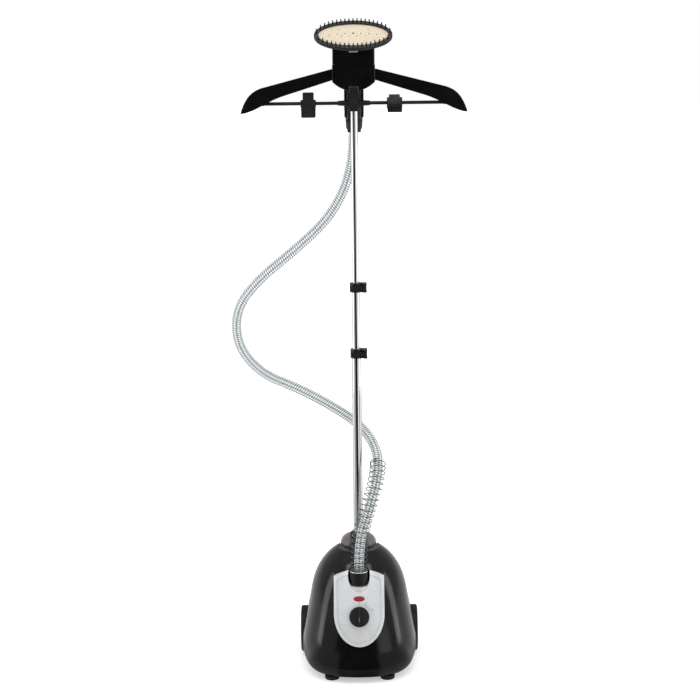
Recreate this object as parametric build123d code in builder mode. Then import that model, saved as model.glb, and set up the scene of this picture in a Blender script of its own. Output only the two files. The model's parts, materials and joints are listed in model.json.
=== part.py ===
"""Upright garment steamer: an egg-shaped base on wheels with boiler, tank and dial, a three-stage pole,
a hanger with sliding clips, and a steam head on a free hose. Millimetres, +Z up, the front faces -Y."""

import os
from math import atan2, cos, degrees, pi, radians, sin, sqrt, tan

from build123d import *

os.makedirs("parts", exist_ok=True)

# ---------------------------------------------------------------- driving dimensions
# Each level of the base: height, half width, front, back, and how square its corners are.
EGG = [
    (10, 116, -128, 128, 0.72),
    (28, 130, -146, 146, 0.72),
    (52, 134, -150, 150, 0.72),
    (80, 131.5, -147, 149, 0.72),
    (110, 126, -141, 145, 0.71),
    (160, 116, -127, 136, 0.69),
    (200, 108, -108, 124, 0.66),
    (225, 99, -92, 112, 0.64),
    (250, 84, -71, 95, 0.62),
    (272, 62, -42, 74, 0.60),
    (280, 50, -30, 62, 0.60),
]
WALL = 3
CHASSIS_SEAM = 36
CHASSIS_RISE = 17
COVER_SEAM_Y = -28
COVER_SEAM_Z = 279
COVER_FALL = 50
# The fullness of a Bezier quadrant that makes an ellipse.
ROUND = 0.5523
FIT = 0.05
GAP = 0.3

POLE_Y = -15
LOWER_R, MIDDLE_R, TOP_R = 11, 9.4, 7.8
TUBE_WALL = 0.8
LOWER_BOTTOM, LOWER_TOP = 130, 750
MIDDLE_BOTTOM, MIDDLE_TOP = 477, 902
TOP_BOTTOM, TOP_TOP = 752, 1330
SLEEVE_R = 20
SLEEVE_BOTTOM, SLEEVE_TOP = 190, 324
CLAMP_HEIGHT = 21
CLAMP_R = 14

WHEEL_X, WHEEL_Y, WHEEL_R = 113, 70, 55
WHEEL_WIDTH = 27
AXLE_R = 4
TYRE = 9
FOOT_X, FOOT_Y, FOOT_R = 64, -106, 17

OUTLET_Y, OUTLET_Z, OUTLET_R = -80, 219, 25
NUT_R = 20.5
NUT_BOTTOM, NUT_TOP = 220, 250
LAMP_Z, KNOB_Z = 194, 157
KNOB_R, KNOB_HEIGHT, KNOB_RIDGE, KNOB_LIFT = 23, 15, 7, 2.6

TANK_Y, TANK_HALF = 50, 42
TANK_BOTTOM, TANK_TOP = 78, 262
# How far up the cap each of its sections is, and how far in from its edge.
CAP_LEVELS = [(0, 0.5), (14, 1.5), (24, 4), (31, 10), (36, 20), (38, 32)]

ADAPTER_HALF = 10.5
ADAPTER_BOTTOM, ADAPTER_TOP = 1296, 1344.5
CRADLE_HALF, CRADLE_ROUND = 47, 65
CRADLE_BOTTOM, CRADLE_TOP = 1341, 1398
CRADLE_FRONT, CRADLE_BACK = -44, 14
CRADLE_WALL = 3.5
ARM_HALF = 14
ROD_R, ROD_Z = 3.8, 1314
ROD_INNER, ROD_OUTER = 16, 210
CLIP_X = {"left": -101, "right": 90}
CLIP_TURN = {"left": 0, "right": 70}

HANDLE_Y, HANDLE_BOTTOM, HANDLE_TOP = 26, 1254, 1356
GRIP_BOTTOM, GRIP_TOP = 1281, 1344
HANDLE_HALF = 20
HANDLE_BORE_R = 14.5
PLATE_Y, PLATE_Z, PLATE_TILT = -70, 1461, 45
PLATE_A, PLATE_B = 76, 32.5
RIM_A, RIM_B = 85, 42.5
LATCH_Y, LATCH_BOTTOM, LATCH_HEIGHT = -84, 1424.6, 6.4
BRISTLE_R, BRISTLE_LENGTH = 1.9, 10
UPPER_BRISTLES, LOWER_BRISTLES = 19, 17

HOSE_R = 11.2
SPRING_R = 20
SPRING_INNER_R = 16.5


# ---------------------------------------------------------------- shared helpers
def save(part, label):
    part.label = label
    export_step(part, f"parts/{label}.step")


def oval(plane, half_x, half_y, fullness=ROUND, shift=0):
    """A closed oval of four Bezier quadrants; a fullness above ROUND gives squarer corners."""
    near_x, near_y = half_x * fullness, half_y * fullness
    with BuildSketch(plane) as sketch:
        with BuildLine():
            for sx, sy in ((1, 1), (-1, 1), (-1, -1), (1, -1)):
                Bezier(
                    (sx * half_x, shift),
                    (sx * half_x, shift + sy * near_y),
                    (sx * near_x, shift + sy * half_y),
                    (0, shift + sy * half_y),
                )
        make_face()
    return sketch.sketch


def tank_oval(height, grow, fullness=0.7):
    """The water tank's outline at a height, grown outwards by this much."""
    half = TANK_HALF + grow
    return oval(Plane.XY.offset(height), half, half, fullness, TANK_Y)


def egg_levels(grow):
    """The base's sections, grown outwards by this much."""
    sections = []
    for level, (height, half, front, back, fullness) in enumerate(EGG):
        lift = -grow if level == 0 else grow if level == len(EGG) - 1 else 0
        sections.append(
            oval(
                Plane.XY.offset(height + lift),
                half + grow,
                (back - front) / 2 + grow,
                fullness,
                (back + front) / 2,
            )
        )
    return sections


def egg_front(height):
    """The base's front surface, in Y, at a height."""
    for (low, _, front, *_), (high, _, above, *_) in zip(EGG, EGG[1:]):
        if low <= height <= high:
            return front + (above - front) * (height - low) / (high - low)
    return EGG[-1][2]


def front_plane(height, step=12):
    """A plane on the base's front, with its normal out of the surface."""
    lean = (egg_front(height + step) - egg_front(height - step)) / (2 * step)
    return Plane(
        origin=(0, egg_front(height), height), x_dir=(1, 0, 0), z_dir=(0, -1, lean)
    )


seam_plane = Plane(
    origin=(0, EGG[2][2], CHASSIS_SEAM),
    x_dir=(1, 0, 0),
    z_dir=(0, -sin(radians(CHASSIS_RISE)), cos(radians(CHASSIS_RISE))),
)
cover_plane = Plane(
    origin=(0, COVER_SEAM_Y, COVER_SEAM_Z),
    x_dir=(1, 0, 0),
    z_dir=(0, sin(radians(COVER_FALL)), cos(radians(COVER_FALL))),
)
pole_plane = Plane.XY.move(Location((0, POLE_Y, 0)))
knob_plane = front_plane(KNOB_Z)
lamp_plane = front_plane(LAMP_Z)
plate_plane = Plane(
    origin=(0, PLATE_Y, PLATE_Z),
    x_dir=(1, 0, 0),
    z_dir=(0, -cos(radians(PLATE_TILT)), sin(radians(PLATE_TILT))),
)


# ---------------------------------------------------------------- base: the egg and its shells
with BuildPart() as egg_skin:
    loft(egg_levels(0))
    loft(egg_levels(-WALL), mode=Mode.SUBTRACT)

with BuildPart() as egg_whole:
    loft(egg_levels(0))

# Everything that stands in the shells' way, cut out of each of them.
with BuildPart() as shell_cuts:
    with Locations((WHEEL_X + 40, WHEEL_Y, WHEEL_R), (-WHEEL_X - 40, WHEEL_Y, WHEEL_R)):
        Cylinder(WHEEL_R + 4, 84, rotation=(0, 90, 0))
    with Locations((0, WHEEL_Y, WHEEL_R)):
        Cylinder(AXLE_R + FIT, 240, rotation=(0, 90, 0))
    with Locations((0, POLE_Y, COVER_SEAM_Z)):
        Cylinder(SLEEVE_R + GAP, 120)
    with BuildSketch(Plane.XY.offset(OUTLET_Z - 24)):
        with Locations((0, OUTLET_Y)):
            Circle(OUTLET_R + GAP)
    extrude(amount=100)
    with BuildSketch(knob_plane.offset(-20)):
        Circle(4)
    extrude(amount=40)
    extrude(oval(lamp_plane.offset(-20), 12.8, 6.3), amount=40)

SCREW_PLACES = [(side * 72, y, 10) for side in (-1, 1) for y in (-66, 104)]

with BuildPart() as chassis:
    add(egg_skin.part)
    split(bisect_by=seam_plane, keep=Keep.BOTTOM)
    # bearing posts for the axle, standing on the floor
    for side in (-1, 1):
        with Locations((side * 90, WHEEL_Y, 10 + 55 / 2)):
            Box(12, 22, 55)
    # sockets for the front feet
    with Locations(*[(side * FOOT_X, FOOT_Y, 10 + 6) for side in (-1, 1)]):
        Cylinder(12, 12)
    with Locations(*[(side * FOOT_X, FOOT_Y, 8) for side in (-1, 1)]):
        Cylinder(6, 28, mode=Mode.SUBTRACT)
    with Locations(*SCREW_PLACES):
        Cylinder(2.5, 60, mode=Mode.SUBTRACT)
    # rear outlet for the mains gland
    with Locations((-45, 140, 34)):
        Cylinder(7, 40, rotation=(90, 0, 0), mode=Mode.SUBTRACT)
    add(shell_cuts.part, mode=Mode.SUBTRACT)
save(chassis.part, "chassis")

with BuildPart() as front_housing:
    add(egg_skin.part)
    split(bisect_by=seam_plane.offset(0.4), keep=Keep.TOP)
    split(bisect_by=cover_plane, keep=Keep.BOTTOM)
    add(shell_cuts.part, mode=Mode.SUBTRACT)
    extrude(tank_oval(200, 3), amount=120, mode=Mode.SUBTRACT)
save(front_housing.part, "front_housing")

with BuildPart() as top_cover:
    add(egg_skin.part)
    split(bisect_by=seam_plane.offset(0.4), keep=Keep.TOP)
    split(bisect_by=cover_plane.offset(0.4), keep=Keep.TOP)
    add(shell_cuts.part, mode=Mode.SUBTRACT)
    extrude(tank_oval(200, 3), amount=120, mode=Mode.SUBTRACT)
save(top_cover.part, "top_cover")

with BuildPart() as front_feet:
    with BuildSketch(Plane.XY):
        with Locations(*[(side * FOOT_X, FOOT_Y) for side in (-1, 1)]):
            Circle(FOOT_R)
    extrude(amount=10)
    fillet(front_feet.edges().group_by(Axis.Z)[0], 3)
    with BuildSketch(Plane.XY.offset(10)):
        with Locations(*[(side * FOOT_X, FOOT_Y) for side in (-1, 1)]):
            Circle(6)
    extrude(amount=10)
save(front_feet.part, "front_feet")

with BuildPart() as chassis_screws:
    with Locations(*SCREW_PLACES):
        Cylinder(2.5, 14, align=(Align.CENTER, Align.CENTER, Align.MIN))
        Cylinder(4.5, 2.5, align=(Align.CENTER, Align.CENTER, Align.MAX))
save(chassis_screws.part, "chassis_screws")

# the cup that the tank stands in
with BuildPart() as tank_well:
    extrude(tank_oval(70, 3), amount=70)
    extrude(tank_oval(74, 1), amount=70, mode=Mode.SUBTRACT)
    with Locations((0, TANK_Y, 72)):
        Cylinder(5.5, 10, mode=Mode.SUBTRACT)
save(tank_well.part, "tank_well")

# ---------------------------------------------------------------- base: control panel
PANEL_HALF = 58
PANEL_BEND = 163
PANEL_LOW = 92
PANEL_SHOULDER = 236
PANEL_CREST = 252
PANEL_PROUD, PANEL_STEP, PANEL_RIM = 3.6, 1.6, 7


def panel_outline(inset):
    """The U of the panel with an arched top, drawn in XZ and extruded towards the front."""
    half = PANEL_HALF - inset
    low = PANEL_LOW + inset
    with BuildSketch(Plane.XZ) as sketch:
        with BuildLine():
            ThreePointArc(
                (-half, PANEL_SHOULDER - inset),
                (0, PANEL_CREST - inset),
                (half, PANEL_SHOULDER - inset),
            )
            for side in (-1, 1):
                Line((side * half, PANEL_SHOULDER - inset), (side * half, PANEL_BEND))
                Bezier(
                    (side * half, PANEL_BEND),
                    (side * half, PANEL_BEND - (PANEL_BEND - low) * ROUND),
                    (side * half * ROUND, low),
                    (0, low),
                )
        make_face()
    return sketch.sketch


# what is cut away inside the panel's rim, down to its lower field
with BuildPart() as panel_field:
    extrude(panel_outline(PANEL_RIM), amount=200)
    loft(egg_levels(PANEL_STEP), mode=Mode.SUBTRACT)

with BuildPart() as control_panel:
    loft(egg_levels(PANEL_PROUD))
    extrude(panel_outline(0), amount=200, mode=Mode.INTERSECT)
    add(egg_whole.part, mode=Mode.SUBTRACT)
    add(shell_cuts.part, mode=Mode.SUBTRACT)
    add(panel_field.part, mode=Mode.SUBTRACT)
save(control_panel.part, "control_panel")

with BuildPart() as indicator_lens:
    extrude(oval(lamp_plane.offset(-6), 12.5, 6), amount=9.5)
    lens_top = indicator_lens.faces().sort_by(Axis((0, 0, 0), lamp_plane.z_dir))[-1]
    fillet(lens_top.edges(), 1.5)
save(indicator_lens.part, "indicator_lens")

with BuildPart() as knob:
    with BuildSketch(knob_plane.offset(KNOB_LIFT)):
        Circle(KNOB_R)
    extrude(amount=KNOB_HEIGHT - KNOB_RIDGE)
    knob_top = knob.faces().sort_by(Axis((0, 0, 0), knob_plane.z_dir))[-1]
    chamfer(knob_top.edges(), 1.5)
    with BuildSketch(knob_plane.offset(KNOB_LIFT + KNOB_HEIGHT - KNOB_RIDGE)):
        SlotOverall(2 * KNOB_R - 6, 9, rotation=90)
    extrude(amount=KNOB_RIDGE, taper=6)
    # the stem down to the switch
    with BuildSketch(knob_plane.offset(-22)):
        Circle(3)
    extrude(amount=22 + KNOB_LIFT)
save(knob.part, "knob")

with BuildPart() as rotary_switch:
    with BuildSketch(knob_plane.offset(-30)):
        RectangleRounded(30, 30, 3)
    extrude(amount=22)
    with BuildSketch(knob_plane.offset(-23)):
        Circle(3 + FIT)
    extrude(amount=30, mode=Mode.SUBTRACT)
save(rotary_switch.part, "rotary_switch")

# ---------------------------------------------------------------- base: steam side
with BuildPart(Plane.XY.move(Location((0, OUTLET_Y, 0)))) as steam_outlet:
    with Locations((0, 0, OUTLET_Z - 9)):
        Cylinder(OUTLET_R, 18)
    with Locations((0, 0, OUTLET_Z + 3)):
        Cylinder(HOSE_R, 8)
    with Locations((0, 0, OUTLET_Z - 25)):
        Cylinder(9, 18)
    with Locations((0, 0, OUTLET_Z - 10)):
        Cylinder(6, 60, mode=Mode.SUBTRACT)
save(steam_outlet.part, "steam_outlet")

HOSE_START = OUTLET_Z + 7

with BuildPart(Plane.XY.move(Location((0, OUTLET_Y, 0)))) as hose_nut:
    with Locations((0, 0, (NUT_BOTTOM + NUT_TOP) / 2)):
        Cylinder(NUT_R, NUT_TOP - NUT_BOTTOM)
    fillet(hose_nut.edges().group_by(Axis.Z)[0], 2)
    with Locations((0, 0, (NUT_BOTTOM + NUT_TOP) / 2 + 4)):
        with PolarLocations(NUT_R + 0.4, 20):
            Cylinder(1.5, NUT_TOP - NUT_BOTTOM, mode=Mode.SUBTRACT)
    with Locations((0, 0, (NUT_BOTTOM + NUT_TOP) / 2)):
        Cylinder(HOSE_R + GAP, 60, mode=Mode.SUBTRACT)
save(hose_nut.part, "hose_nut")

with BuildPart() as boiler:
    with Locations((0, -62, 52)):
        Box(112, 76, 34)
    fillet(boiler.edges().filter_by(Axis.Z), 14)
    with Locations((0, -62, 72)):
        Cylinder(30, 10)
    with Locations((0, -62, 31)):
        Cylinder(8, 12)
save(boiler.part, "boiler")

with BuildPart() as thermostat:
    with Locations((43, -62, 69 + 6)):
        Cylinder(10, 12)
    with Locations((43, -62, 84)):
        Box(8, 14, 6)
save(thermostat.part, "thermostat")

with BuildPart() as steam_pipe:
    with BuildLine():
        steam_run = FilletPolyline(
            (0, -62, 77),
            (0, -62, 120),
            (0, OUTLET_Y, 150),
            (0, OUTLET_Y, OUTLET_Z - 34),
            radius=14,
        )
    with BuildSketch(Plane(origin=steam_run @ 0, z_dir=steam_run % 0)):
        Circle(6)
        Circle(4, mode=Mode.SUBTRACT)
    sweep()
save(steam_pipe.part, "steam_pipe")

with BuildPart() as feed_pipe:
    with BuildLine():
        feed_run = FilletPolyline(
            (0, TANK_Y, 70),
            (0, TANK_Y, 42),
            (0, -24, 42),
            radius=12,
        )
    with BuildSketch(Plane(origin=feed_run @ 0, z_dir=feed_run % 0)):
        Circle(5)
        Circle(3.4, mode=Mode.SUBTRACT)
    sweep()
save(feed_pipe.part, "feed_pipe")

with BuildPart() as mains_gland:
    with Locations((-45, 143, 34)):
        Cylinder(7, 14, rotation=(90, 0, 0))
    with Locations((-45, 148, 34)):
        Cylinder(10, 4, rotation=(90, 0, 0))
    with Locations((-45, 143, 34)):
        Cylinder(3.5, 40, rotation=(90, 0, 0), mode=Mode.SUBTRACT)
    add(chassis.part, mode=Mode.SUBTRACT)
save(mains_gland.part, "mains_gland")

# ---------------------------------------------------------------- base: wheels
with BuildPart() as axle:
    with Locations((0, WHEEL_Y, WHEEL_R)):
        Cylinder(AXLE_R, 2 * (WHEEL_X + WHEEL_WIDTH - 4), rotation=(0, 90, 0))
    chamfer(axle.edges().filter_by(GeomType.CIRCLE), 0.8)
save(axle.part, "axle")

for side, name in ((-1, "left"), (1, "right")):
    wheel_plane = Plane(
        origin=(side * WHEEL_X, WHEEL_Y, WHEEL_R), x_dir=(0, 1, 0), z_dir=(side, 0, 0)
    )
    with BuildPart() as wheel:
        with BuildSketch(wheel_plane):
            Circle(WHEEL_R - TYRE)
            Circle(AXLE_R + FIT, mode=Mode.SUBTRACT)
        extrude(amount=WHEEL_WIDTH - 3)
        with BuildSketch(wheel_plane.offset(WHEEL_WIDTH - 9)):
            with PolarLocations(27, 6):
                Circle(8.5)
        extrude(amount=20, mode=Mode.SUBTRACT)
        with BuildSketch(wheel_plane.offset(WHEEL_WIDTH - 3)):
            Circle(14)
        extrude(amount=3)
        with BuildSketch(wheel_plane):
            Circle(AXLE_R + FIT)
        extrude(amount=WHEEL_WIDTH - 3, mode=Mode.SUBTRACT)
    save(wheel.part, f"wheel_{name}")
    with BuildPart() as tyre:
        with BuildSketch(wheel_plane):
            Circle(WHEEL_R)
            Circle(WHEEL_R - TYRE, mode=Mode.SUBTRACT)
        extrude(amount=WHEEL_WIDTH)
        fillet(
            tyre.edges().filter_by(GeomType.CIRCLE).sort_by(SortBy.RADIUS)[-2:], 5
        )
    save(tyre.part, f"tyre_{name}")

# ---------------------------------------------------------------- water tank
with BuildPart() as water_tank:
    extrude(tank_oval(TANK_BOTTOM, 0), amount=TANK_TOP - TANK_BOTTOM)
    extrude(
        tank_oval(TANK_BOTTOM + 3, -2.5), amount=TANK_TOP - TANK_BOTTOM, mode=Mode.SUBTRACT
    )
    with Locations((0, TANK_Y, TANK_BOTTOM)):
        Cylinder(6, 20, mode=Mode.SUBTRACT)
save(water_tank.part, "water_tank")

with BuildPart() as tank_valve:
    with Locations((0, TANK_Y, TANK_BOTTOM + 1.5)):
        Cylinder(6, 3)
    with Locations((0, TANK_Y, TANK_BOTTOM + 6)):
        Cylinder(9, 6)
    with Locations((0, TANK_Y, TANK_BOTTOM - 2)):
        Cylinder(3, 4)
save(tank_valve.part, "tank_valve")

with BuildPart() as tank_cap:
    loft([tank_oval(TANK_TOP + up, 2 - inset, 0.66) for up, inset in CAP_LEVELS])
    # finger recess at the back, to lift the tank by
    with Locations((0, TANK_Y + TANK_HALF + 2, TANK_TOP + 24)):
        Box(44, 26, 12, mode=Mode.SUBTRACT)
save(tank_cap.part, "tank_cap")

# ---------------------------------------------------------------- pole
with BuildPart(pole_plane) as pole_sleeve:
    with Locations((0, 0, (SLEEVE_BOTTOM + SLEEVE_TOP) / 2)):
        Cylinder(SLEEVE_R, SLEEVE_TOP - SLEEVE_BOTTOM)
    chamfer(pole_sleeve.edges().group_by(Axis.Z)[-1], 5, 2)
    with Locations((0, 0, (SLEEVE_BOTTOM + SLEEVE_TOP) / 2)):
        Cylinder(LOWER_R, 200, mode=Mode.SUBTRACT)
save(pole_sleeve.part, "pole_sleeve")


def pole_tube(radius, bottom, top):
    """An open tube on the pole's axis."""
    with BuildPart(pole_plane) as tube:
        with Locations((0, 0, (bottom + top) / 2)):
            Cylinder(radius, top - bottom)
            Cylinder(radius - TUBE_WALL, top - bottom, mode=Mode.SUBTRACT)
    return tube.part


save(pole_tube(LOWER_R, LOWER_BOTTOM, LOWER_TOP), "lower_tube")
save(pole_tube(MIDDLE_R, MIDDLE_BOTTOM, MIDDLE_TOP), "middle_tube")
save(pole_tube(TOP_R, TOP_BOTTOM, TOP_TOP), "top_tube")


def glide_bush(inner, outer, bottom):
    """The plastic ring that centres one tube in the next."""
    with BuildPart(pole_plane) as bush:
        with Locations((0, 0, bottom + 11)):
            Cylinder(outer, 22)
            Cylinder(inner, 22, mode=Mode.SUBTRACT)
    return bush.part


save(glide_bush(MIDDLE_R, LOWER_R - TUBE_WALL - FIT, MIDDLE_BOTTOM), "middle_glide_bush")
save(glide_bush(TOP_R, MIDDLE_R - TUBE_WALL - FIT, TOP_BOTTOM), "top_glide_bush")

LEVER_X, LEVER_DY = 20, -9


def clamp_set(name, outer_tube_r, inner_tube_r, seat, top):
    """A clamp on a tube's top end: the collar with its ears, the cam lever between them, and its pin."""
    bottom = top - CLAMP_HEIGHT
    middle = (top + bottom) / 2
    with BuildPart(pole_plane) as collar:
        with Locations((13, 0.5, middle)):
            Box(23, 18, CLAMP_HEIGHT)
        fillet(collar.edges().filter_by(Axis.Z).group_by(Axis.X)[-1], 2)
        with Locations((0, 0, middle)):
            Cylinder(CLAMP_R, CLAMP_HEIGHT)
        with Locations((LEVER_X, LEVER_DY, middle)):
            Cylinder(5, CLAMP_HEIGHT)
        # room for the cam between the two ears
        with Locations((LEVER_X, LEVER_DY, middle)):
            Cylinder(6.5, 11, mode=Mode.SUBTRACT)
        with Locations((LEVER_X - 20, LEVER_DY - 7, middle)):
            Box(60, 8, 11, mode=Mode.SUBTRACT)
        # the slot that the cam closes
        with Locations((18, 4, middle)):
            Box(20, 1.6, CLAMP_HEIGHT, mode=Mode.SUBTRACT)
        with Locations((0, 0, (bottom + seat) / 2)):
            Cylinder(outer_tube_r, seat - bottom, mode=Mode.SUBTRACT)
        with Locations((0, 0, middle)):
            Cylinder(inner_tube_r + FIT, 60, mode=Mode.SUBTRACT)
        with Locations((LEVER_X, LEVER_DY, middle)):
            Cylinder(1.8, 40, mode=Mode.SUBTRACT)
    save(collar.part, f"{name}_clamp")

    with BuildPart(pole_plane) as lever:
        with Locations((LEVER_X, LEVER_DY, middle)):
            Cylinder(4.5, 10.2)
        with Locations((LEVER_X - 16, LEVER_DY - 7.2, middle)):
            Box(32, 4, 10.2)
        with Locations((LEVER_X - 1, LEVER_DY - 4, middle)):
            Box(6, 6, 10.2)
        with Locations((LEVER_X, LEVER_DY, middle)):
            Cylinder(1.8 + FIT, 40, mode=Mode.SUBTRACT)
    save(lever.part, f"{name}_clamp_lever")

    with BuildPart(pole_plane) as pin:
        with Locations((LEVER_X, LEVER_DY, middle)):
            Cylinder(1.8, CLAMP_HEIGHT)
    save(pin.part, f"{name}_clamp_pin")


clamp_set("lower", LOWER_R, MIDDLE_R, LOWER_TOP, 760)
clamp_set("upper", MIDDLE_R, TOP_R, MIDDLE_TOP, 912)

# ---------------------------------------------------------------- hanger
def cradle_outline(inset, top):
    """The cradle's outline drawn in XZ: straight sides on a round bottom."""
    half, radius = CRADLE_HALF - inset, CRADLE_ROUND - inset
    centre = CRADLE_BOTTOM + CRADLE_ROUND
    bend = centre - sqrt(radius**2 - half**2)
    with BuildSketch(Plane.XZ.offset(-CRADLE_BACK)) as sketch:
        with BuildLine():
            Polyline((-half, bend), (-half, top), (half, top), (half, bend))
            ThreePointArc((-half, bend), (0, centre - radius), (half, bend))
        make_face()
    return sketch.sketch


with BuildPart() as cradle:
    extrude(cradle_outline(0, CRADLE_TOP), amount=CRADLE_BACK - CRADLE_FRONT)
    bends = cradle.edges().filter_by(Axis.Y).filter_by_position(Axis.Z, 0, CRADLE_TOP - 1)
    fillet(bends, 2)
    front_loop = cradle.edges().group_by(Axis.Y)[0]
    fillet(front_loop.filter_by_position(Axis.Z, 0, CRADLE_TOP - 1), 1.5)
    extrude(
        cradle_outline(CRADLE_WALL, CRADLE_TOP + 20),
        amount=CRADLE_BACK - CRADLE_FRONT - CRADLE_WALL,
        mode=Mode.SUBTRACT,
    )
    # slot that the handle passes down through, open to the back
    with Locations((0, HANDLE_Y, CRADLE_BOTTOM)):
        Box(54, 2 * HANDLE_Y + 4, 60, mode=Mode.SUBTRACT)
    with Locations((0, POLE_Y, (ADAPTER_BOTTOM + ADAPTER_TOP) / 2)):
        Box(
            2 * ADAPTER_HALF,
            2 * ADAPTER_HALF,
            ADAPTER_TOP - ADAPTER_BOTTOM,
            mode=Mode.SUBTRACT,
        )
save(cradle.part, "cradle")

with BuildPart() as pole_adapter:
    with Locations((0, POLE_Y, (ADAPTER_BOTTOM + ADAPTER_TOP) / 2)):
        Box(2 * ADAPTER_HALF, 2 * ADAPTER_HALF, ADAPTER_TOP - ADAPTER_BOTTOM)
    # the bracket that leans out in front of the cradle's lowest point
    with BuildSketch(Plane.YZ.offset(-ADAPTER_HALF)):
        Polygon(
            (POLE_Y, ADAPTER_BOTTOM + 8),
            (POLE_Y - ADAPTER_HALF, ADAPTER_BOTTOM + 8),
            (CRADLE_FRONT - 1.6, CRADLE_BOTTOM - 4),
            (CRADLE_FRONT - 1.6, CRADLE_BOTTOM + 8),
            (CRADLE_FRONT, CRADLE_BOTTOM + 11),
            (CRADLE_FRONT + 1, CRADLE_BOTTOM + 11),
            (CRADLE_FRONT + 1, CRADLE_BOTTOM + 1),
            (POLE_Y, CRADLE_BOTTOM + 1),
            align=None,
        )
    extrude(amount=2 * ADAPTER_HALF)
    chamfer(pole_adapter.edges().filter_by(Axis.Z), 1.2)
    for side in (-1, 1):
        with BuildSketch(
            Plane(origin=(side * 9, POLE_Y, ROD_Z), x_dir=(0, 1, 0), z_dir=(side, 0, 0))
        ):
            Circle(7)
        extrude(amount=27, taper=4)
    with Locations((0, POLE_Y, ROD_Z)):
        Cylinder(ROD_R, 200, rotation=(0, 90, 0), mode=Mode.SUBTRACT)
    with Locations((0, POLE_Y, ROD_Z)):
        Box(2 * ROD_INNER, 14, 12)
    with Locations((0, POLE_Y, TOP_TOP - 50)):
        Cylinder(TOP_R, 100, mode=Mode.SUBTRACT)
    add(cradle.part, mode=Mode.SUBTRACT)
save(pole_adapter.part, "pole_adapter")


def arm_outline(side):
    """A hanger shoulder in XZ, from the cradle out to its pointed tip."""
    with BuildSketch(Plane.XZ) as sketch:
        with BuildLine():
            root = Line((side * CRADLE_HALF, 1364.5), (side * CRADLE_HALF, 1389))
            top = Line(root @ 1, (side * 203, 1349))
            shoulder = Bezier(
                top @ 1, (side * 226, 1342), (side * 240, 1328), (side * 251, 1293)
            )
            Bezier(
                shoulder @ 1, (side * 224, 1294), (side * 196, 1318), (side * 157, 1330.5)
            )
            Line((side * 157, 1330.5), root @ 0)
        make_face()
    return sketch.sketch


for side, name in ((-1, "left"), (1, "right")):
    outline = arm_outline(side)
    with BuildPart() as arm:
        with BuildSketch(Plane.XZ.offset(-POLE_Y - ARM_HALF)):
            add(outline)
        extrude(amount=2 * ARM_HALF)
        with BuildSketch(Plane.XZ.offset(-POLE_Y - ARM_HALF + 3)):
            with Locations((-side * 3, -4.5)):
                add(outline)
        extrude(amount=2 * ARM_HALF - 6, mode=Mode.SUBTRACT)
        # solid root and the boss that holds the rod's end
        with Locations((side * (CRADLE_HALF + 6), POLE_Y, 1376)):
            Box(12, 2 * ARM_HALF - 6, 16)
        with Locations((side * (ROD_OUTER - 6), POLE_Y, ROD_Z + 4)):
            Box(12, 2 * ARM_HALF - 6, 16)
        with Locations((side * (ROD_OUTER - 60), POLE_Y, ROD_Z)):
            Cylinder(ROD_R, 120, rotation=(0, 90, 0), mode=Mode.SUBTRACT)
    save(arm.part, f"hanger_arm_{name}")
    with BuildPart() as rod:
        with Locations((side * (ROD_INNER + ROD_OUTER) / 2, POLE_Y, ROD_Z)):
            Cylinder(ROD_R, ROD_OUTER - ROD_INNER, rotation=(0, 90, 0))
    save(rod.part, f"rod_{name}")

# ---------------------------------------------------------------- trouser clips
CLIP_LENGTH = 34
KNUCKLE_R = 7.5
SLEEVE_OUTER = 5
JAW_LOW, JAW_HIGH = -31, 24


def jaw(plane, face, barrels):
    """One half of a clip: a ribbed plate on the side named by face (-1 front, 1 back), with its barrels."""
    front = Plane(origin=plane.origin, x_dir=plane.x_dir, z_dir=-plane.y_dir)
    with BuildPart(plane) as half:
        with BuildSketch(front.offset(-face * 8 - 2)):
            with Locations((0, (JAW_LOW + 8) / 2)):
                RectangleRounded(CLIP_LENGTH - 2, 8 - JAW_LOW, 3)
            with Locations((0, (JAW_HIGH + 4) / 2)):
                RectangleRounded(CLIP_LENGTH - 10, JAW_HIGH - 4, 2)
        extrude(amount=4)
        with Locations((0, face * (8 - 3.1), JAW_LOW + 3)):
            Box(CLIP_LENGTH - 6, 8.4, 5)
        with Locations((0, face * 7, 0)):
            Box(CLIP_LENGTH, 6, 11)
        with Locations((0, 0, 0)):
            Cylinder(KNUCKLE_R + GAP, CLIP_LENGTH + 2, rotation=(0, 90, 0), mode=Mode.SUBTRACT)
        for centre, width in barrels:
            with Locations((centre, 0, 0)):
                Cylinder(KNUCKLE_R, width, rotation=(0, 90, 0))
            with Locations((centre, face * 6.5, 0)):
                Box(width, 4, 6)
        with Locations((0, 0, 0)):
            Cylinder(SLEEVE_OUTER + FIT, CLIP_LENGTH + 2, rotation=(0, 90, 0), mode=Mode.SUBTRACT)
    return half.part


for name, centre_x in CLIP_X.items():
    turn = radians(CLIP_TURN[name])
    clip_plane = Plane(
        origin=(centre_x, POLE_Y, ROD_Z), x_dir=(1, 0, 0), z_dir=(0, sin(turn), cos(turn))
    )
    with BuildPart(clip_plane) as clip_sleeve:
        Cylinder(SLEEVE_OUTER, CLIP_LENGTH, rotation=(0, 90, 0))
        Cylinder(ROD_R + FIT, CLIP_LENGTH + 2, rotation=(0, 90, 0), mode=Mode.SUBTRACT)
    save(clip_sleeve.part, f"clip_sleeve_{name}")
    save(jaw(clip_plane, 1, ((-12.5, 9), (12.5, 9))), f"clip_back_{name}")
    save(jaw(clip_plane, -1, ((0, 15),)), f"clip_front_{name}")

# ---------------------------------------------------------------- steam head
NECK_BACK = 30
NECK_INSET = 0.7
# The bell behind the plate: depth below it, half width, half height, and how far up the plane it sits.
BELL = [(5, 83, 40.5, 0), (14, 80, 35.5, 3.5), (27, 64, 26, 7), (36, 49, 18, 9)]
BELL_WALL = 9
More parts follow.
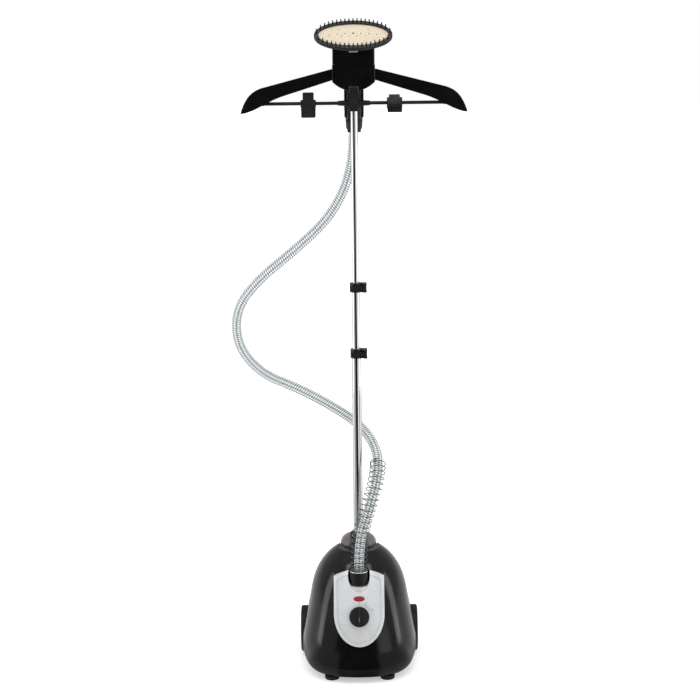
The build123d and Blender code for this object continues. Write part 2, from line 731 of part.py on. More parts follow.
# The neck's upper block, over the cradle: its front and back top edges in YZ.
BLOCK_FRONT, BLOCK_HIGH = CRADLE_FRONT + 0.5, 1452
BLOCK_LOW = 1405
CHANNEL_R = 5


def bell(grow, levels):
    """Sections of the bell, parallel to the plate."""
    return [
        oval(plate_plane.offset(-depth), half_x + grow, half_y + grow, 0.58, shift)
        for depth, half_x, half_y, shift in levels
    ]


# the button under the bell that lets the bristle frame go, in its own pocket
with BuildPart() as bell_body:
    loft(bell(0, BELL))
    with Locations((0, LATCH_Y, LATCH_BOTTOM + LATCH_HEIGHT - 5)):
        Box(22, 9, 14, mode=Mode.SUBTRACT)

with BuildPart() as brush_latch:
    with BuildSketch(Plane.XY.offset(LATCH_BOTTOM)):
        with Locations((0, LATCH_Y)):
            RectangleRounded(18.5, 5.4, 1.2)
    extrude(amount=LATCH_HEIGHT, taper=-10)
save(brush_latch.part, "brush_latch")

with BuildPart() as head_shell:
    with BuildSketch(Plane.YZ.offset(-CRADLE_HALF + NECK_INSET)):
        Polygon(
            (BLOCK_FRONT, CRADLE_TOP + 0.5),
            (NECK_BACK, CRADLE_TOP + 0.5),
            (NECK_BACK, BLOCK_LOW),
            (BLOCK_FRONT, BLOCK_HIGH),
            align=None,
        )
    extrude(amount=2 * (CRADLE_HALF - NECK_INSET))
    fillet(head_shell.edges().filter_by(Axis.Z), 3)
    add(bell_body.part)
    # the lower neck, down inside the cradle
    with BuildSketch(Plane.XZ.offset(-NECK_BACK)):
        add(cradle_outline(CRADLE_WALL + 0.7, CRADLE_TOP + 4))
    extrude(amount=NECK_BACK - CRADLE_FRONT - CRADLE_WALL - 4.5)
    loft(bell(-BELL_WALL, [(4.99, *BELL[0][1:]), *BELL[1:3]]), mode=Mode.SUBTRACT)
    # the steam's way down from the bell to the handle
    fall = atan2(BLOCK_HIGH - BLOCK_LOW, NECK_BACK - BLOCK_FRONT)
    with Locations((0, -16, 1424)):
        Cylinder(
            CHANNEL_R, 68, rotation=(90 - degrees(fall), 0, 0), mode=Mode.SUBTRACT
        )
    with Locations((0, 12, 1370)):
        Box(2 * CHANNEL_R, 2 * CHANNEL_R, 72, mode=Mode.SUBTRACT)
save(head_shell.part, "head_shell")

# Height and half width of the handle's sections.
HANDLE_LEVELS = [
    (HANDLE_BOTTOM, 16.5),
    (HANDLE_BOTTOM + 4, 18.3),
    (HANDLE_BOTTOM + 18, 19.4),
    (GRIP_BOTTOM + 15, HANDLE_HALF),
    (HANDLE_TOP, HANDLE_HALF),
]

with BuildPart() as handle_screws:
    with Locations(*[(side * 14, HANDLE_Y - HANDLE_HALF + 4, 1274) for side in (-1, 1)]):
        Cylinder(2.4, 5, rotation=(90, 0, 0))
save(handle_screws.part, "handle_screws")

with BuildPart() as handle:
    loft(
        [
            oval(Plane.XY.offset(level), half, half - 1, 0.7, HANDLE_Y)
            for level, half in HANDLE_LEVELS
        ],
        ruled=True,
    )
    with Locations((0, HANDLE_Y, HANDLE_BOTTOM + 41)):
        Cylinder(HANDLE_BORE_R, 96, mode=Mode.SUBTRACT)
    # flats that the side grips sit on
    for side in (-1, 1):
        with Locations((side * (HANDLE_HALF + 3.5), HANDLE_Y, (GRIP_BOTTOM + GRIP_TOP) / 2)):
            Box(10, 60, GRIP_TOP - GRIP_BOTTOM, mode=Mode.SUBTRACT)
    add(handle_screws.part, mode=Mode.SUBTRACT)
    add(head_shell.part, mode=Mode.SUBTRACT)
save(handle.part, "handle")

GRIP_RIB = 4.8
with BuildPart() as side_grips:
    for side in (-1, 1):
        with Locations((side * (HANDLE_HALF + 0.25), HANDLE_Y, (GRIP_BOTTOM + GRIP_TOP) / 2)):
            Box(3.5, 26, GRIP_TOP - GRIP_BOTTOM)
    fillet(side_grips.edges().filter_by(Axis.Z), 1.2)
    for rib in range(int((GRIP_TOP - GRIP_BOTTOM) / GRIP_RIB)):
        groove = GRIP_BOTTOM + (rib + 0.5) * GRIP_RIB
        for side in (-1, 1):
            with Locations((side * (HANDLE_HALF + 2.6), HANDLE_Y, groove)):
                Box(3, 30, 1.8, mode=Mode.SUBTRACT)
save(side_grips.part, "side_grips")

with BuildPart() as hose_cuff:
    with Locations((0, HANDLE_Y, HANDLE_BOTTOM + 4)):
        Cylinder(HANDLE_BORE_R, 8)
    with Locations((0, HANDLE_Y, HANDLE_BOTTOM - 3)):
        Cylinder(HANDLE_BORE_R + 1, 6)
    fillet(hose_cuff.edges().group_by(Axis.Z)[0], 1.5)
    with Locations((0, HANDLE_Y, HANDLE_BOTTOM)):
        Cylinder(HOSE_R + 1.5, 40, mode=Mode.SUBTRACT)
save(hose_cuff.part, "hose_cuff")

with BuildPart() as head_gasket:
    extrude(oval(plate_plane.offset(-5), PLATE_A, PLATE_B), amount=2)
    extrude(oval(plate_plane.offset(-5), PLATE_A - 6, PLATE_B - 6), amount=2, mode=Mode.SUBTRACT)
save(head_gasket.part, "head_gasket")

with BuildPart() as steam_plate:
    extrude(oval(plate_plane.offset(-3), PLATE_A, PLATE_B), amount=3)
    with BuildSketch(plate_plane.offset(-4)):
        with Locations(*[(step * 17, 6.4 - 0.65 * step**2) for step in (-3, -2, -1, 1, 2, 3)]):
            Circle(1.5)
        with Locations(*[(step * 17, -2.2) for step in (-1.5, -0.5, 0.5, 1.5)]):
            Circle(1.5)
        with Locations((0, 6.4)):
            Circle(2.4)
    extrude(amount=10, mode=Mode.SUBTRACT)
    # four shallow rests for a fabric guard
    with BuildSketch(plate_plane.offset(-0.8)):
        with Locations((-32, 17), (32, 17), (-45, -17), (45, -17)):
            Rectangle(5, 3)
    extrude(amount=5, mode=Mode.SUBTRACT)
save(steam_plate.part, "steam_plate")

with BuildPart() as brush_frame:
    extrude(oval(plate_plane.offset(-5 + GAP), RIM_A, RIM_B), amount=8)
    fillet(brush_frame.faces().sort_by(Axis((0, 0, 0), plate_plane.z_dir))[-1].edges(), 2)
    extrude(
        oval(plate_plane.offset(-6), PLATE_A + 0.5, PLATE_B + 0.5), amount=20, mode=Mode.SUBTRACT
    )
    # one row over the plate and one under it, each evenly spaced across
    across, up = (PLATE_A + RIM_A) / 2, (PLATE_B + RIM_B) / 2
    for row, count in ((1, UPPER_BRISTLES), (-1, LOWER_BRISTLES)):
        for bristle in range(count):
            place = (2 * bristle / (count - 1) - 1) * (0.985 if row > 0 else 0.93)
            with BuildSketch(plate_plane.offset(1)):
                with Locations((across * place, row * up * sqrt(1 - place**2))):
                    Circle(BRISTLE_R)
            extrude(amount=BRISTLE_LENGTH + 2, taper=3)
save(brush_frame.part, "brush_frame")


# ---------------------------------------------------------------- hose
# Where the hose runs, from the outlet in front of the pole, round its right side, out to the left and up.
HOSE_ROUTE = [
    (0, OUTLET_Y, HOSE_START),
    (0, OUTLET_Y, 320),
    (25, -86, 401),
    (45, -61, 465),
    (48, -1, 517),
    (8, 44, 567),
    (-59, 54, 610),
    (-135, 36, 657),
    (-221, 37, 692),
    (-276, 28, 762),
    (-275, 19, 851),
    (-218, 13, 921),
    (-138, 17, 983),
    (-56, 21, 1058),
    (-12, 25, 1144),
    (0, HANDLE_Y, 1240),
    (0, HANDLE_Y, 1335),
]
SPRING_CORNERS = 3


def corner_radii(route):
    """The largest arc that each corner's two runs leave room for."""
    points = [Vector(*point) for point in route]
    radii = []
    for before, corner, after in zip(points, points[1:], points[2:]):
        come, leave = corner - before, after - corner
        half_turn = radians(come.get_angle(leave)) / 2
        radii.append(0.45 * min(come.length, leave.length) / tan(half_turn))
    return radii


def route_tube(route, radii, radius, inner=0):
    """A round tube along the route, its corners rounded by arcs."""
    with BuildPart() as tube:
        with BuildLine():
            run = FilletPolyline(*route, radius=radii)
        with BuildSketch(Plane(origin=run @ 0, z_dir=run % 0)):
            Circle(radius)
            if inner:
                Circle(inner, mode=Mode.SUBTRACT)
        sweep()
    share = tube.part.volume / (pi * (radius**2 - inner**2) * run.length)
    print("tube length", round(run.length), "volume share", round(share, 4))
    return tube.part


hose_radii = corner_radii(HOSE_ROUTE)
print("hose radii", [round(radius) for radius in hose_radii])
save(route_tube(HOSE_ROUTE, hose_radii, HOSE_R), "steam_hose")

# The steel spring guard stands on the nut and follows the hose's first bends, halfway along the fourth run.
guard_end = (Vector(*HOSE_ROUTE[SPRING_CORNERS]) + Vector(*HOSE_ROUTE[SPRING_CORNERS + 1])) / 2
guard_route = [(0, OUTLET_Y, NUT_TOP), *HOSE_ROUTE[1 : SPRING_CORNERS + 1], guard_end]
save(route_tube(guard_route, hose_radii[:SPRING_CORNERS], SPRING_R, SPRING_INNER_R), "hose_spring")
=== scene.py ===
"""Looks for the upright garment steamer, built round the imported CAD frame.

Camera, light and floor, a finish for every node, the free steam hose with its wire guard, and the marks on
the panel and dial. Metres, +Z up, front -Y.
"""

import json
from math import cos, pi, radians, sin

import bpy
import numpy as np
from mathutils import Matrix, Vector
from mathutils.bvhtree import BVHTree


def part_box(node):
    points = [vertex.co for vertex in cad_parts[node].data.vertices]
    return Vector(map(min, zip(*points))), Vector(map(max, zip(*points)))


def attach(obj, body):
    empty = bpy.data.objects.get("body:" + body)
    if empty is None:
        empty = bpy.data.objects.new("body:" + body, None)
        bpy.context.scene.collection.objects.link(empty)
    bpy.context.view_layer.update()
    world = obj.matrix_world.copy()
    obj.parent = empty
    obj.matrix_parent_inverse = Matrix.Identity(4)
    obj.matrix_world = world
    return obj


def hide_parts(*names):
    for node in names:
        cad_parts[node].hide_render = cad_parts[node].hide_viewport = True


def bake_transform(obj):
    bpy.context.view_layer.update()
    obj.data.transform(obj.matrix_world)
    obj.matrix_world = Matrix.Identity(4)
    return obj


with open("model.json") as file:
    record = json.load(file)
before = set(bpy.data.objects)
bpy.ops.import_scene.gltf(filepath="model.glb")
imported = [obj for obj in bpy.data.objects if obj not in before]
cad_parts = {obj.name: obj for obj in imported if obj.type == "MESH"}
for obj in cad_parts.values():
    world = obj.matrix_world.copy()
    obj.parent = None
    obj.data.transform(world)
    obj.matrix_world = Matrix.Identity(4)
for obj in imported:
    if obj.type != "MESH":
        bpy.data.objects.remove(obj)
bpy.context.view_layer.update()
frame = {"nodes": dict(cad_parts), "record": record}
nodes = frame["nodes"]

# ---------------------------------------------------------------- camera
CAMERA_PLACE = (0, -3.515, 1.45)
CAMERA_LENS = 80.4
CAMERA_PITCH = radians(90 - 11.2)
CAMERA_YAW = radians(0.242)
CAMERA_ROLL = radians(-0.65)

camera_data = bpy.data.cameras.new("camera")
camera_data.lens = CAMERA_LENS
camera = bpy.data.objects.new("camera", camera_data)
bpy.context.scene.collection.objects.link(camera)
camera.matrix_world = (
    Matrix.Translation(CAMERA_PLACE)
    @ Matrix.Rotation(CAMERA_YAW, 4, "Z")
    @ Matrix.Rotation(CAMERA_PITCH, 4, "X")
    @ Matrix.Rotation(CAMERA_ROLL, 4, "Z")
)
bpy.context.scene.camera = camera
bpy.context.scene.view_settings.view_transform = "Standard"


# ---------------------------------------------------------------- node helpers
class Shader:
    """A node tree with short calls for adding nodes and links."""

    def __init__(self, tree):
        self.tree = tree
        tree.nodes.clear()

    def node(self, kind, inputs=None, **settings):
        made = self.tree.nodes.new(kind)
        for key, value in settings.items():
            setattr(made, key, value)
        for key, value in (inputs or {}).items():
            if isinstance(value, bpy.types.NodeSocket):
                self.tree.links.new(value, made.inputs[key])
            else:
                made.inputs[key].default_value = value
        return made

    def math(self, operation, first, second=0.0, third=0.0):
        inputs = {0: first, 1: second, 2: third}
        return self.node("ShaderNodeMath", inputs, operation=operation).outputs[0]

    def noise(self, place, scale, detail=3.0):
        inputs = {"Vector": place, "Scale": scale, "Detail": detail}
        return self.node("ShaderNodeTexNoise", inputs).outputs["Fac"]

    def spread(self, value, low, high, start=0.3, end=0.7):
        inputs = {
            "Value": value,
            "From Min": start,
            "From Max": end,
            "To Min": low,
            "To Max": high,
        }
        return self.node("ShaderNodeMapRange", inputs).outputs["Result"]

    def mix(self, factor, first, second):
        made = self.node("ShaderNodeMix", data_type="RGBA")
        for key, value in ((0, factor), (6, first), (7, second)):
            if isinstance(value, bpy.types.NodeSocket):
                self.tree.links.new(value, made.inputs[key])
            else:
                made.inputs[key].default_value = value
        return made.outputs[2]

    def ramp(self, factor, stops):
        made = self.node("ShaderNodeValToRGB", {"Fac": factor})
        elements = made.color_ramp.elements
        while len(elements) < len(stops):
            elements.new(0.5)
        for element, (place, level) in zip(elements, stops):
            element.position = place
            element.color = level if isinstance(level, tuple) else (level, level, level, 1)
        return made.outputs["Color"]


def grey(level):
    return (level, level, level, 1)


# ---------------------------------------------------------------- world, light and floor
# The studio round the object: level by turn about the upright axis, 0 and 1 behind it and 0.5 in front.
STUDIO_LEVELS = [
    (0.00, 0.85),
    (0.215, 0.90),
    (0.235, 1.60),
    (0.275, 1.60),
    (0.295, 0.50),
    (0.40, 0.46),
    (0.425, 0.015),
    (0.555, 0.015),
    (0.570, 1.25),
    (0.625, 1.30),
    (0.650, 0.42),
    (0.71, 0.46),
    (0.725, 1.50),
    (0.765, 1.50),
    (0.785, 0.90),
    (1.00, 0.85),
]
# The same on the floor close to the object, without the bright band to the right of the dark one.
NEAR_LEVELS = [
    (0.00, 0.80),
    (0.20, 0.85),
    (0.25, 1.10),
    (0.31, 0.48),
    (0.40, 0.42),
    (0.435, 0.40),
    (0.445, 0.015),
    (0.550, 0.015),
    (0.560, 0.40),
    (0.60, 0.42),
    (0.69, 0.48),
    (0.75, 1.10),
    (0.80, 0.85),
    (1.00, 0.80),
]
OVERHEAD_LEVEL = 0.60
AMBIENT_LEVEL = 0.72
WORLD_STRENGTH = 0.8


def studio_level(shader, x, y, levels):
    """The studio's level in the direction (x, y) from the upright axis."""
    azimuth = shader.math("ARCTAN2", x, shader.math("MULTIPLY", y, -1.0))
    turn = shader.math("MULTIPLY_ADD", azimuth, 0.5 / pi, 0.5)
    return shader.ramp(turn, levels)


def make_world():
    """White to the camera, the studio's bands in gloss, and one even level for all other light."""
    world = bpy.data.worlds.new("studio")
    bpy.context.scene.world = world
    world.use_nodes = True
    shader = Shader(world.node_tree)
    direction = shader.node("ShaderNodeTexCoord").outputs["Generated"]
    split = shader.node("ShaderNodeSeparateXYZ", {0: direction})
    rays = shader.node("ShaderNodeLightPath").outputs
    studio = studio_level(shader, split.outputs["X"], split.outputs["Y"], STUDIO_LEVELS)
    up = shader.spread(split.outputs["Z"], 0.0, 1.0, 0.06, 0.22)
    studio = shader.mix(up, studio, grey(OVERHEAD_LEVEL))
    studio = shader.mix(rays["Is Glossy Ray"], grey(AMBIENT_LEVEL), studio)
    lit = shader.node("ShaderNodeBackground", {"Color": studio, "Strength": WORLD_STRENGTH})
    seen = shader.node("ShaderNodeBackground", {"Color": grey(1.0), "Strength": 1.0})
    both = shader.node(
        "ShaderNodeMixShader",
        {0: rays["Is Camera Ray"], 1: lit.outputs[0], 2: seen.outputs[0]},
    )
    shader.node("ShaderNodeOutputWorld", {"Surface": both.outputs[0]})


def softbox(name, place, target, width, height, power):
    data = bpy.data.lights.new(name, "AREA")
    data.shape = "RECTANGLE"
    data.size, data.size_y = width, height
    data.energy = power
    light = bpy.data.objects.new(name, data)
    bpy.context.scene.collection.objects.link(light)
    light.location = place
    aim = Vector(target) - Vector(place)
    light.rotation_euler = aim.to_track_quat("-Z", "Y").to_euler()
    return light


FLOOR_GLOW_NEAR, FLOOR_GLOW_FAR = 0.45, 1.0


def make_floor():
    half = 30
    mesh = bpy.data.meshes.new("floor")
    corners = [(-half, -half, 0), (half, -half, 0), (half, half, 0), (-half, half, 0)]
    mesh.from_pydata(corners, [], [(0, 1, 2, 3)])
    floor = bpy.data.objects.new("floor", mesh)
    bpy.context.scene.collection.objects.link(floor)
    material = bpy.data.materials.new("studio_floor")
    material.use_nodes = True
    shader = Shader(material.node_tree)
    place = shader.node("ShaderNodeTexCoord").outputs["Object"]
    tone = shader.mix(shader.noise(place, 0.7), grey(0.90), grey(0.93))
    away = shader.node("ShaderNodeVectorMath", {0: place}, operation="LENGTH").outputs["Value"]
    glow = shader.spread(away, FLOOR_GLOW_NEAR, FLOOR_GLOW_FAR, 1.2, 3.5)
    surface = shader.node(
        "ShaderNodeBsdfPrincipled",
        {
            "Base Color": tone,
            "Roughness": 0.9,
            "Specular IOR Level": 0.1,
            "Emission Color": grey(1.0),
            "Emission Strength": glow,
        },
    )
    # in the object's own reflections the floor carries the studio's bands
    split = shader.node("ShaderNodeSeparateXYZ", {0: place})
    x, y = split.outputs["X"], split.outputs["Y"]
    bands = shader.mix(
        shader.spread(away, 0.0, 1.0, 1.3, 1.7),
        studio_level(shader, x, y, NEAR_LEVELS),
        studio_level(shader, x, y, STUDIO_LEVELS),
    )
    bands = shader.node(
        "ShaderNodeEmission", {"Color": bands, "Strength": WORLD_STRENGTH}
    )
    mirrored = shader.node("ShaderNodeLightPath").outputs["Is Glossy Ray"]
    both = shader.node(
        "ShaderNodeMixShader", {0: mirrored, 1: surface.outputs[0], 2: bands.outputs[0]}
    )
    shader.node("ShaderNodeOutputMaterial", {"Surface": both.outputs[0]})
    mesh.materials.append(material)


make_world()
make_floor()
softbox("top_light", (0, -1.3, 4.3), (0, 0, 0.9), 3.0, 2.4, 62)
softbox("left_light", (-2.7, -0.5, 1.2), (0, 0, 0.7), 0.9, 2.8, 16)
softbox("right_light", (2.7, -0.5, 1.2), (0, 0, 0.7), 0.9, 2.8, 18)


# ---------------------------------------------------------------- finishes
def finish(
    name,
    low,
    high,
    tone_scale=30,
    rough=(0.3, 0.4),
    rough_scale=60,
    bump=0.1,
    bump_scale=900,
    bump_depth=0.0002,
    stretch=(1, 1, 1),
    **constants,
):
    """A moulded or metal surface: two tones mixed by a noise, roughness that wanders, and a fine relief.
    Anything in constants is set on the shader's own sockets."""
    material = bpy.data.materials.new(name)
    material.use_nodes = True
    shader = Shader(material.node_tree)
    place = shader.node("ShaderNodeTexCoord").outputs["Object"]
    place = shader.node("ShaderNodeMapping", {"Vector": place, "Scale": stretch}).outputs[0]
    tone = shader.mix(
        shader.spread(shader.noise(place, tone_scale), 0.0, 1.0), (*low, 1), (*high, 1)
    )
    roughness = shader.spread(shader.noise(place, rough_scale), *rough)
    relief = shader.node(
        "ShaderNodeBump",
        {
            "Height": shader.noise(place, bump_scale, 2.0),
            "Strength": bump,
            "Distance": bump_depth,
        },
    )
    inputs = {
        "Base Color": tone,
        "Roughness": roughness,
        "Normal": relief.outputs[0],
    }
    inputs.update({key.replace("_", " "): value for key, value in constants.items()})
    surface = shader.node("ShaderNodeBsdfPrincipled", inputs)
    shader.node("ShaderNodeOutputMaterial", {"Surface": surface.outputs[0]})
    return material


finishes = {
    "gloss_black": finish(
        "gloss_black",
        (0.0030, 0.0030, 0.0033),
        (0.0048, 0.0048, 0.0053),
        rough=(0.09, 0.15),
        bump=0.05,
        bump_scale=140,
        bump_depth=0.0003,
        Specular_IOR_Level=0.42,
    ),
    "black_plastic": finish(
        "black_plastic",
        (0.0065, 0.0065, 0.0070),
        (0.0105, 0.0105, 0.0112),
        rough=(0.34, 0.46),
        bump=0.25,
        bump_scale=1500,
        Specular_IOR_Level=0.4,
    ),
    "silver_panel": finish(
        "silver_panel",
        (0.66, 0.67, 0.685),
        (0.72, 0.73, 0.74),
        tone_scale=35,
        rough=(0.26, 0.34),
        bump=0.04,
        bump_scale=160,
        Metallic=0.25,
    ),
    "red_lens": finish(
        "red_lens",
        (0.20, 0.003, 0.004),
        (0.36, 0.008, 0.008),
        tone_scale=260,
        rough=(0.08, 0.16),
        bump=0.3,
        bump_scale=420,
        Coat_Weight=0.6,
        Emission_Color=(0.6, 0.01, 0.01, 1),
        Emission_Strength=0.03,
    ),
    "cap_brown": finish(
        "cap_brown",
        (0.150, 0.128, 0.120),
        (0.185, 0.160, 0.150),
        rough=(0.22, 0.3),
        bump=0.08,
        bump_scale=300,
    ),
    "clear_tank": finish(
        "clear_tank",
        (0.30, 0.28, 0.27),
        (0.38, 0.36, 0.35),
        rough=(0.12, 0.2),
        bump=0.05,
        bump_scale=300,
        Transmission_Weight=0.5,
    ),
    "chromed_tube": finish(
        "chromed_tube",
        (0.78, 0.78, 0.79),
        (0.86, 0.86, 0.87),
        tone_scale=40,
        rough=(0.05, 0.10),
        bump=0.05,
        bump_scale=500,
        bump_depth=0.0001,
        stretch=(1, 1, 0.06),
        Metallic=1.0,
    ),
    "steel": finish(
        "steel",
        (0.30, 0.30, 0.31),
        (0.46, 0.46, 0.47),
        tone_scale=200,
        rough=(0.18, 0.30),
        bump=0.1,
        Metallic=1.0,
    ),
    "guard_steel": finish(
        "guard_steel",
        (0.13, 0.13, 0.135),
        (0.24, 0.24, 0.245),
        tone_scale=160,
        rough=(0.20, 0.32),
        bump=0.1,
        Metallic=1.0,
    ),
    "cast_aluminium": finish(
        "cast_aluminium",
        (0.42, 0.42, 0.43),
        (0.56, 0.56, 0.57),
        rough=(0.4, 0.6),
        bump=0.5,
        bump_scale=500,
        Metallic=1.0,
    ),
    "beige_plate": finish(
        "beige_plate",
        (0.66, 0.56, 0.42),
        (0.74, 0.64, 0.49),
        tone_scale=160,
        rough=(0.3, 0.42),
        bump=0.1,
        bump_scale=900,
    ),
    "rubber_black": finish(
        "rubber_black",
        (0.010, 0.010, 0.010),
        (0.018, 0.018, 0.018),
        rough=(0.6, 0.8),
        bump=0.4,
        bump_scale=1200,
        Specular_IOR_Level=0.3,
    ),
    "grey_trim": finish(
        "grey_trim",
        (0.20, 0.20, 0.205),
        (0.28, 0.28, 0.285),
        rough=(0.3, 0.4),
        bump=0.1,
    ),
    "hose_net": None,
}


def dress_cad():
    """Every CAD node gets its record slot's finish."""
    for row in frame["record"]["subparts"]:
        node = nodes[row["node"]]
        material = finishes[row["material_slot"]]
        if material is None:
            continue
        node.data.materials.clear()
        node.data.materials.append(material)


dress_cad()

# ---------------------------------------------------------------- steam hose
HOSE_ROUTE = [
    (0, -0.080, 0.226),
    (0, -0.080, 0.320),
    (0.025, -0.086, 0.401),
    (0.045, -0.061, 0.465),
    (0.048, -0.001, 0.517),
    (0.008, 0.044, 0.567),
    (-0.059, 0.054, 0.610),
    (-0.135, 0.036, 0.657),
    (-0.221, 0.037, 0.692),
    (-0.276, 0.028, 0.762),
    (-0.275, 0.019, 0.851),
    (-0.218, 0.013, 0.921),
    (-0.138, 0.017, 0.983),
    (-0.056, 0.021, 1.058),
    (-0.012, 0.025, 1.144),
    (0, 0.026, 1.240),
    (0, 0.026, 1.335),
]
HOSE_RADIUS = 0.0110
CELL_PITCH = 0.0053
CELLS_ROUND = 8
CELL_SLANT = 3
RINGS_PER_CELL = 5
SIDES_PER_CELL = 5
CELL_RELIEF = 0.00045
CELL_HALF_U, CELL_HALF_V = 0.44, 0.36


def smooth_line(name, route):
    """Points read from a NURBS spline that has the route's points as its control points."""
    data = bpy.data.curves.new(name, "CURVE")
    data.dimensions = "3D"
    data.resolution_u = 64
    spline = data.splines.new("NURBS")
    spline.points.add(len(route) - 1)
    for point, place in zip(spline.points, route):
        point.co = (*place, 1)
    spline.order_u = 3
    spline.use_endpoint_u = True
    holder = bpy.data.objects.new(name, data)
    mesh = bpy.data.meshes.new_from_object(holder)
    points = np.array([v.co for v in mesh.vertices], float)
    bpy.data.objects.remove(holder)
    bpy.data.meshes.remove(mesh)
    bpy.data.curves.remove(data)
    return points


def along(points, places):
    """Points at those distances along a line of points."""
    steps = np.linalg.norm(np.diff(points, axis=0), axis=1)
    distance = np.concatenate([[0], np.cumsum(steps)])
    return np.stack([np.interp(places, distance, points[:, k]) for k in range(3)], axis=1)


def line_length(points):
    return float(np.linalg.norm(np.diff(points, axis=0), axis=1).sum())


def carried_frames(points):
    """Two unit vectors across the line at each point, carried along it without twist."""
    tangents = np.gradient(points, axis=0)
    tangents /= np.linalg.norm(tangents, axis=1)[:, None]
    side = np.cross(tangents[0], (0, -1, 0))
    side /= np.linalg.norm(side)
    sides = []
    for tangent in tangents:
        side = side - tangent * side.dot(tangent)
        side /= np.linalg.norm(side)
        sides.append(side)
    sides = np.array(sides)
    return sides, np.cross(tangents, sides)


def link_mesh(name, verts, faces, material, uvs=None):
    mesh = bpy.data.meshes.new(name)
    mesh.from_pydata([tuple(v) for v in verts], [], faces)
    if uvs is not None:
        layer = mesh.uv_layers.new(name="along")
        layer.data.foreach_set("uv", np.array(uvs, np.float32).ravel())
    mesh.materials.append(material)
    mesh.polygons.foreach_set("use_smooth", [True] * len(mesh.polygons))
    mesh.update()
    made = bpy.data.objects.new(name, mesh)
    bpy.context.scene.collection.objects.link(made)
    return made


def tube(name, points, radii, sides, material, uv_scale=(1.0, 1.0), places=None):
    """A closed tube round a line; radii is a number or an array of one radius per ring and side."""
    rings = len(points)
    radii = np.broadcast_to(np.asarray(radii, float), (rings, sides))
    across, over = carried_frames(points)
    angles = np.arange(sides) * 2 * pi / sides
    verts = (
        points[:, None, :]
        + radii[:, :, None] * np.cos(angles)[None, :, None] * across[:, None, :]
        + radii[:, :, None] * np.sin(angles)[None, :, None] * over[:, None, :]
    ).reshape(-1, 3)
    places = np.arange(rings) if places is None else places
    faces, uvs = [], []
    for ring in range(rings - 1):
        low, high = places[ring] * uv_scale[1], places[ring + 1] * uv_scale[1]
        for side in range(sides):
            after = (side + 1) % sides
            faces.append(
                (
                    ring * sides + side,
                    ring * sides + after,
                    (ring + 1) * sides + after,
                    (ring + 1) * sides + side,
                )
            )
            left, right = side * uv_scale[0] / sides, (side + 1) * uv_scale[0] / sides
            uvs += [(left, low), (right, low), (right, high), (left, high)]
    faces.append(tuple(reversed(range(sides))))
    faces.append(tuple(range((rings - 1) * sides, rings * sides)))
    uvs += [(0, 0)] * (2 * sides)
    return link_mesh(name, verts, faces, material, uvs)


def net_material():
    """Clear hose with a woven net in it: pale oval cells in slanted rows, between grey threads."""
    material = bpy.data.materials.new("hose_net")
    material.use_nodes = True
    shader = Shader(material.node_tree)
    uv = shader.node("ShaderNodeUVMap", uv_map="along").outputs[0]
    split = shader.node("ShaderNodeSeparateXYZ", {0: uv})
    cell_u, cell_v = cell_place(shader, split.outputs["X"], split.outputs["Y"])
    distance = shader.math(
        "SQRT",
        shader.math(
            "ADD",
            shader.math("POWER", shader.math("DIVIDE", cell_u, CELL_HALF_U), 2.0),
            shader.math("POWER", shader.math("DIVIDE", cell_v, CELL_HALF_V), 2.0),
        ),
    )
    place = shader.node("ShaderNodeTexCoord").outputs["Object"]
    wobble = shader.spread(shader.noise(place, 420), -0.16, 0.16)
    thread = shader.spread(shader.math("ADD", distance, wobble), 0.0, 1.0, 0.72, 1.12)
    clear = shader.mix(
        shader.spread(shader.noise(place, 150), 0.0, 1.0),
        (0.80, 0.84, 0.85, 1),
        (0.93, 0.96, 0.97, 1),
    )
    woven = shader.mix(
        shader.spread(shader.noise(place, 260), 0.0, 1.0),
        (0.14, 0.165, 0.17, 1),
        (0.27, 0.305, 0.315, 1),
    )
    tone = shader.mix(thread, clear, woven)
    relief = shader.node(
        "ShaderNodeBump", {"Height": thread, "Strength": 0.3, "Distance": 0.0003}
    )
    surface = shader.node(
        "ShaderNodeBsdfPrincipled",
        {
            "Base Color": tone,
            "Roughness": shader.spread(shader.noise(place, 300), 0.16, 0.3),
            "Normal": relief.outputs[0],
            "Coat Weight": 0.3,
            "Coat Roughness": 0.12,
        },
    )
    shader.node("ShaderNodeOutputMaterial", {"Surface": surface.outputs[0]})
    return material


def cell_place(shader, around, lengthwise):
    """Where a point is in its cell, from -0.5 to 0.5 each way, for slanted rows of cells."""
    slanted = shader.math("MULTIPLY_ADD", around, CELL_SLANT / CELLS_ROUND, lengthwise)
    return (
        shader.math("SUBTRACT", shader.math("FRACT", around), 0.5),
        shader.math("SUBTRACT", shader.math("FRACT", slanted), 0.5),
    )


def make_hose():
    line = smooth_line("hose_line", HOSE_ROUTE)
    length = line_length(line)
    rings = int(length / CELL_PITCH * RINGS_PER_CELL)
    places = np.linspace(0, length, rings)
    points = along(line, places)
    sides = CELLS_ROUND * SIDES_PER_CELL
    around = (np.arange(sides) / SIDES_PER_CELL)[None, :]
    rows = (places / CELL_PITCH)[:, None] + around * CELL_SLANT / CELLS_ROUND
    cell_u = (around % 1) - 0.5
    cell_v = (rows % 1) - 0.5
    distance = np.sqrt((cell_u / CELL_HALF_U) ** 2 + (cell_v / CELL_HALF_V) ** 2)
    relief = CELL_RELIEF * np.clip((distance - 0.6) / 0.6, 0, 1)
    finishes["hose_net"] = net_material()
    hose = tube(
        "steam_hose_net",
        points,
        HOSE_RADIUS + relief,
        sides,
        finishes["hose_net"],
        (CELLS_ROUND, 1 / CELL_PITCH),
        places,
    )
    return hose, line, places, sides


hose, hose_line, hose_places, hose_sides = make_hose()
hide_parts("steam_hose")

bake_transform(hose)

